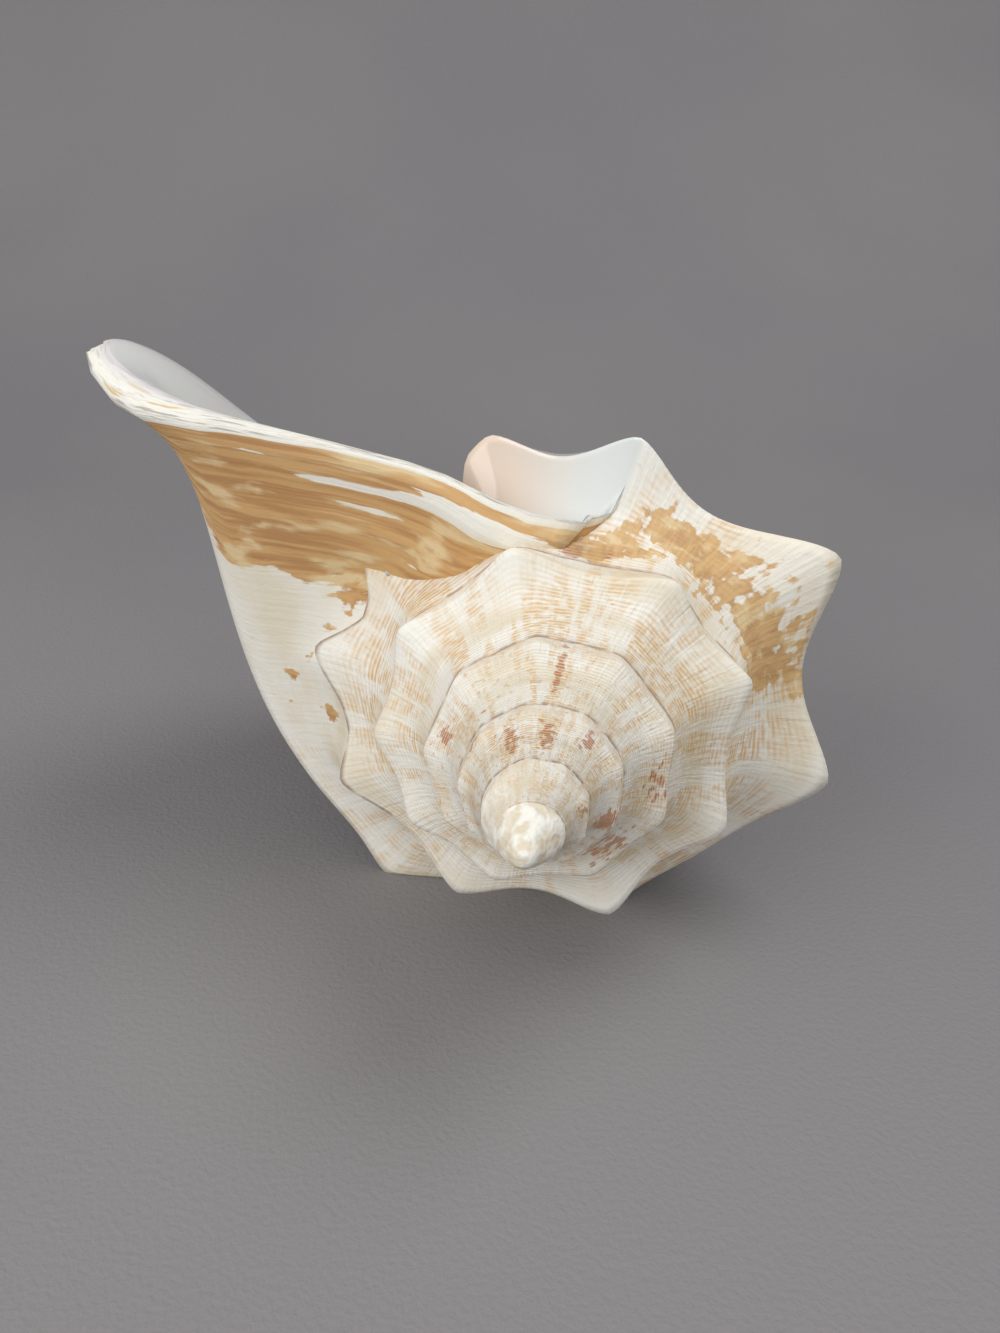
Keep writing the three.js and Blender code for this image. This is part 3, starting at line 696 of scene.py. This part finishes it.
class Nodes:
    """Builds the nodes of one material."""

    def __init__(self, name):
        self.material = bpy.data.materials.new(name)
        self.material.use_nodes = True
        self.tree = self.material.node_tree
        self.shader = self.tree.nodes["Principled BSDF"]
        self.channels = {}

    def add(self, kind, inputs, output=0, **settings):
        """A node with its inputs linked or set; returns one of its outputs."""
        node = self.tree.nodes.new(kind)
        for name, value in settings.items():
            setattr(node, name, value)
        for key, value in inputs.items():
            self.put(node.inputs[key], value)
        return node.outputs[output]

    def put(self, socket, value):
        if isinstance(value, bpy.types.NodeSocket):
            self.tree.links.new(value, socket)
        else:
            socket.default_value = value

    def channel(self, name):
        """The value of one of the surface's channels."""
        if name not in self.channels:
            self.channels[name] = self.add("ShaderNodeAttribute", {}, "Fac", attribute_name=name)
        return self.channels[name]

    def math(self, operation, *values, clamp=False):
        return self.add("ShaderNodeMath", dict(enumerate(values)), operation=operation, use_clamp=clamp)

    def multiply(self, a, b):
        return self.math("MULTIPLY", a, b)

    def scaled(self, value, factor, start):
        """start + factor * value"""
        return self.math("MULTIPLY_ADD", value, factor, start)

    def inverse(self, value):
        return self.math("SUBTRACT", 1.0, value)

    def between(self, value, low, high):
        """0 below low, 1 above high, smooth between."""
        inputs = {"Value": value, "From Min": low, "From Max": high}
        return self.add("ShaderNodeMapRange", inputs, interpolation_type="SMOOTHSTEP")

    def blend(self, factor, a, b):
        inputs = {"Factor": factor, 6: a, 7: b}
        return self.add("ShaderNodeMix", inputs, 2, data_type="RGBA")

    def growth_noise(self, per_turn, per_place, detail=2.0, seed=0.0, along="turn"):
        """Noise that is per_turn times as fine along the coil, and per_place times across it."""
        x = self.scaled(self.channel(along), per_turn, 31.7 * seed)
        y = self.scaled(self.channel("place"), per_place, 17.3 * seed)
        vector = self.add("ShaderNodeCombineXYZ", {0: x, 1: y})
        inputs = {"Vector": vector, "Scale": 1.0, "Detail": detail}
        return self.add("ShaderNodeTexNoise", inputs, noise_dimensions="2D")

    def solid_noise(self, scale, detail=2.0):
        """Noise in space, with about that many waves to the metre."""
        where = self.add("ShaderNodeTexCoord", {}, "Object")
        return self.add("ShaderNodeTexNoise", {"Vector": where, "Scale": scale, "Detail": detail})

    def bump(self, height, distance):
        normal = self.add("ShaderNodeBump", {"Height": height, "Distance": distance, "Strength": 1.0})
        self.put(self.shader.inputs["Normal"], normal)

    def finish(self, colour, roughness, **constants):
        self.put(self.shader.inputs["Base Color"], colour)
        self.put(self.shader.inputs["Roughness"], roughness)
        for name, value in constants.items():
            self.shader.inputs[name.replace("_", " ")].default_value = value
        return self.material


def spiral_cords(n):
    """The height of the cords, from -1 to 1, and the valleys between them, from 0 to 1."""
    wander = n.growth_noise(9, 5, seed=3)
    phase = n.math("MULTIPLY_ADD", n.channel("place"), CORDS_PER_PLACE, n.multiply(wander, 1.6))
    cords = n.math("SINE", n.multiply(phase, 2 * math.pi))
    return cords, n.scaled(cords, -0.5, 0.5)


def tan_flecks(n, colour, valleys, patterned):
    """Tan flecks in the valleys between the cords, in bands across the ramp, and painted shade: a faint tan
    in every valley.
    """
    bands = n.growth_noise(42, 1.3, detail=2, seed=7)
    bands = n.math("MULTIPLY_ADD", n.channel("tan"), 0.22, bands)
    dashes = n.growth_noise(70, 26, detail=2, seed=9)
    flecks = n.multiply(n.between(bands, 0.43, 0.6), n.scaled(valleys, 0.7, 0.3))
    flecks = n.multiply(n.multiply(flecks, n.between(dashes, 0.3, 0.6)), patterned)
    colour = n.blend(flecks, colour, TAN)
    # Painted shade: every valley between the cords tinted a little towards tan.
    shade = n.multiply(n.multiply(valleys, patterned), 0.1)
    return n.blend(shade, colour, TAN)


def rust_dashes(n, colour, valleys, unworn):
    """Rust-coloured dashes in marks, and scattered over the early whorls."""
    early = n.inverse(n.between(n.channel("turn"), -1.3, -0.2))
    broken = n.growth_noise(60, 16, detail=2, seed=11)
    rust = n.math("ADD", n.channel("rust"), n.multiply(n.math("SUBTRACT", broken, 0.5), 1.6))
    rust = n.between(rust, 0.4, 0.7)
    rust = n.multiply(rust, n.scaled(valleys, 0.5, 0.45))
    scattered = n.multiply(n.between(broken, 0.65, 0.73), n.multiply(early, unworn))
    rust = n.math("MAXIMUM", rust, n.multiply(scattered, 0.4))
    return n.blend(rust, colour, RUST)


def ochre_skin(n, colour, late):
    """The ochre skin, streaked along the growth lines, ragged at its border and gone from the lip's edge."""
    streaks = n.growth_noise(110, 5, detail=4, seed=13)
    ragged = n.growth_noise(34, 12, detail=4, seed=15)
    level = n.math("ADD", n.channel("ochre"), n.math("SUBTRACT", n.math("ADD", streaks, ragged), 1.0))
    level = n.math("SUBTRACT", level, n.between(n.channel("turn"), LIP_TURN - 0.009, LIP_TURN - 0.002))
    skin = n.between(level, 0.42, 0.54)
    tone = n.blend(n.between(streaks, 0.35, 0.62), DEEP_OCHRE, OCHRE)
    pale = n.between(n.growth_noise(45, 9, detail=3, seed=17), 0.5, 0.68)
    tone = n.blend(pale, tone, PALE_OCHRE)
    tone = n.blend(n.scaled(late, -0.25, 0.25), tone, PALE_OCHRE)
    return n.blend(n.multiply(skin, 0.95), colour, tone), skin


def seam_brown_and_painted_shade(n, colour, unworn):
    """Brown along the seams, patchy, and the painted shade of SHADE_MARKS in the gap under the lip's end."""
    brown_and_painted_shade = n.multiply(n.channel("crease"), n.between(n.growth_noise(40, 2, seed=19), 0.3, 0.6))
    brown_and_painted_shade = n.multiply(brown_and_painted_shade, unworn)
    return n.blend(n.multiply(brown_and_painted_shade, 0.8), colour, SEAM_BROWN)


def outside_material():
    n = Nodes("shell_outside")
    turn = n.channel("turn")
    place = n.channel("place")
    callus = n.channel("callus")
    body = n.between(place, 0.92, 1.02)
    late = n.between(turn, 1.55, 1.8)
    unworn = n.between(turn, -3.5, -2.7)
    worn_tip = n.inverse(unworn)
    plain = n.math("MAXIMUM", worn_tip, n.channel("spine"))
    patterned = n.inverse(n.math("MAXIMUM", n.math("MAXIMUM", body, late), plain, clamp=True))
    cords, valleys = spiral_cords(n)

    # White with cream clouds, and whiter knobs on the worn apex.
    clouds = n.growth_noise(7, 3, detail=3, seed=1)
    colour = n.blend(n.between(clouds, 0.4, 0.7), WHITE, CREAM)
    knobs = n.solid_noise(350)
    colour = n.blend(worn_tip, colour, n.blend(n.between(knobs, 0.4, 0.6), TIP_CREAM, WHITE))

    # Markings, painted shade in the cords' valleys and under the lip's end, and the glossy callus over
    # everything.
    colour = tan_flecks(n, colour, valleys, patterned)
    colour = rust_dashes(n, colour, valleys, unworn)
    colour, skin = ochre_skin(n, colour, late)
    colour = seam_brown_and_painted_shade(n, colour, unworn)
    enamel = n.blend(n.between(turn, 0.96, 1.05), PEACH, CALLUS_WHITE)
    enamel = n.blend(n.between(turn, 0.55, 0.9), ROSE, enamel)
    colour = n.blend(callus, colour, enamel)

    # Relief: the cords, strongest towards the upper seam, growth lines and pits.
    lines = n.growth_noise(260, 4, detail=3, seed=5)
    relief = n.multiply(patterned, n.scaled(n.between(turn, 0.9, 1.2), -0.6, 1.0))
    relief = n.multiply(relief, n.scaled(n.between(place, 0.3, 0.7), -0.5, 1.0))
    height = n.multiply(cords, n.scaled(relief, 0.22, 0.02))
    height = n.math("ADD", height, n.multiply(lines, n.scaled(late, -0.4, 0.8)))
    height = n.math("ADD", height, n.multiply(n.solid_noise(900), 0.35))
    height = n.multiply(height, n.scaled(n.math("MAXIMUM", callus, worn_tip), -0.97, 1.0))
    height = n.math("ADD", height, n.multiply(n.multiply(knobs, worn_tip), 3.0))
    n.bump(height, OUTSIDE_RELIEF)
    rough = n.scaled(lines, 0.3, 0.38)
    rough = n.math("MULTIPLY_ADD", skin, 0.12, rough)
    rough = n.add("ShaderNodeMix", {"Factor": callus, 2: rough, 3: 0.12})
    return n.finish(colour, rough, Specular_IOR_Level=0.45)


def inside_material():
    n = Nodes("shell_inside")
    deep = n.inverse(n.between(n.channel("turn"), 1.3, 1.95))
    clouds = n.growth_noise(5, 4, detail=3, seed=21)
    pale = n.blend(n.between(clouds, 0.35, 0.7), LAVENDER, CALLUS_WHITE)
    colour = n.blend(n.math("MULTIPLY_ADD", clouds, 0.1, n.multiply(deep, 0.8)), pale, ROSE)
    colour = n.blend(n.channel("callus"), colour, CALLUS_WHITE)
    colour = n.blend(n.channel("crease"), colour, SEAM_BROWN)
    folds = n.growth_noise(22, 3, detail=2, seed=23)
    n.bump(n.math("ADD", folds, n.multiply(n.solid_noise(120), 0.3)), INSIDE_RELIEF)
    return n.finish(colour, n.scaled(clouds, 0.12, 0.1), Specular_IOR_Level=0.5)


def rim_material():
    n = Nodes("shell_rim")
    across = n.channel("across")
    layers = n.growth_noise(7, 14, detail=3, seed=25, along="across")
    colour = n.blend(n.between(layers, 0.3, 0.4), PALE_OCHRE, WHITE)
    colour = n.blend(n.multiply(n.between(layers, 0.6, 0.68), 0.6), colour, GREY_LAYER)
    colour = n.blend(n.between(across, 0.5, 0.85), colour, LAVENDER)
    n.bump(layers, RIM_RELIEF)
    return n.finish(colour, n.scaled(layers, 0.4, 0.25), Specular_IOR_Level=0.4)


def floor_material():
    n = Nodes("floor")
    weave = n.solid_noise(700)
    n.bump(weave, WEAVE_RELIEF)
    colour = n.blend(n.between(n.solid_noise(3), 0.3, 0.7), FLOOR_GREY, PALE_FLOOR)
    return n.finish(colour, n.scaled(weave, 0.1, 0.85))


conch = shell_object()
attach(conch, "root")
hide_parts("conch_shell")


# Floor, light and camera, in metres.
FLOOR_HALF_WIDTH = 2.0
FLOOR_FRONT = -1.5
SWEEP_START = 0.35
SWEEP_RADIUS = 0.6
SWEEP_STEPS = 24
BACKDROP_TOP = 2.5
LIGHT_TARGET = (0, 0, 0.05)
WORLD_LIGHT = 0.62
CAMERA_POINT = (0.0101, -0.2426, 0.1865)
CAMERA_DOWN = math.radians(27.02)
CAMERA_ROLL = math.radians(1.27)
FOCAL_PIXELS = 1007
PHOTO_HEIGHT = 1333


def floor_object():
    """A plain sheet that sweeps up into a backdrop."""
    profile = [(FLOOR_FRONT, 0.0), (SWEEP_START, 0.0)]
    for k in range(1, SWEEP_STEPS + 1):
        a = math.pi / 2 * k / SWEEP_STEPS
        profile.append((SWEEP_START + SWEEP_RADIUS * math.sin(a), SWEEP_RADIUS * (1 - math.cos(a))))
    profile.append((profile[-1][0], BACKDROP_TOP))
    points = [(x, y, z) for y, z in profile for x in (-FLOOR_HALF_WIDTH, FLOOR_HALF_WIDTH)]
    faces = [(2 * k, 2 * k + 1, 2 * k + 3, 2 * k + 2) for k in range(len(profile) - 1)]
    mesh = bpy.data.meshes.new("floor")
    mesh.from_pydata(points, [], faces)
    mesh.shade_smooth()
    mesh.materials.append(floor_material())
    obj = bpy.data.objects.new("floor", mesh)
    bpy.context.collection.objects.link(obj)
    return obj


def area_light(name, point, size, watts):
    light = bpy.data.lights.new(name, "AREA")
    light.shape = "DISK"
    light.size = size
    light.energy = watts
    obj = bpy.data.objects.new(name, light)
    obj.location = point
    obj.rotation_euler = (Vector(LIGHT_TARGET) - Vector(point)).to_track_quat("-Z", "Y").to_euler()
    bpy.context.collection.objects.link(obj)


floor_object()
area_light("key", (0.4, 0, 1.0), 0.6, 3.5)
area_light("fill", (-0.75, -0.8, 0.6), 0.8, 6.0)
world = bpy.data.worlds.new("studio")
world.use_nodes = True
world.node_tree.nodes["Background"].inputs["Color"].default_value = (1, 1, 1, 1)
world.node_tree.nodes["Background"].inputs["Strength"].default_value = WORLD_LIGHT
bpy.context.scene.world = world

camera_data = bpy.data.cameras.new("camera")
camera_data.sensor_width = 36
camera_data.lens = FOCAL_PIXELS / PHOTO_HEIGHT * camera_data.sensor_width
camera_data.clip_start = 0.01
camera = bpy.data.objects.new("camera", camera_data)
turned = Matrix.Rotation(math.pi / 2 - CAMERA_DOWN, 4, "X") @ Matrix.Rotation(CAMERA_ROLL, 4, "Z")
camera.matrix_world = Matrix.Translation(CAMERA_POINT) @ turned
bpy.context.collection.objects.link(camera)
bpy.context.scene.camera = camera
bpy.context.scene.view_settings.view_transform = "Standard"
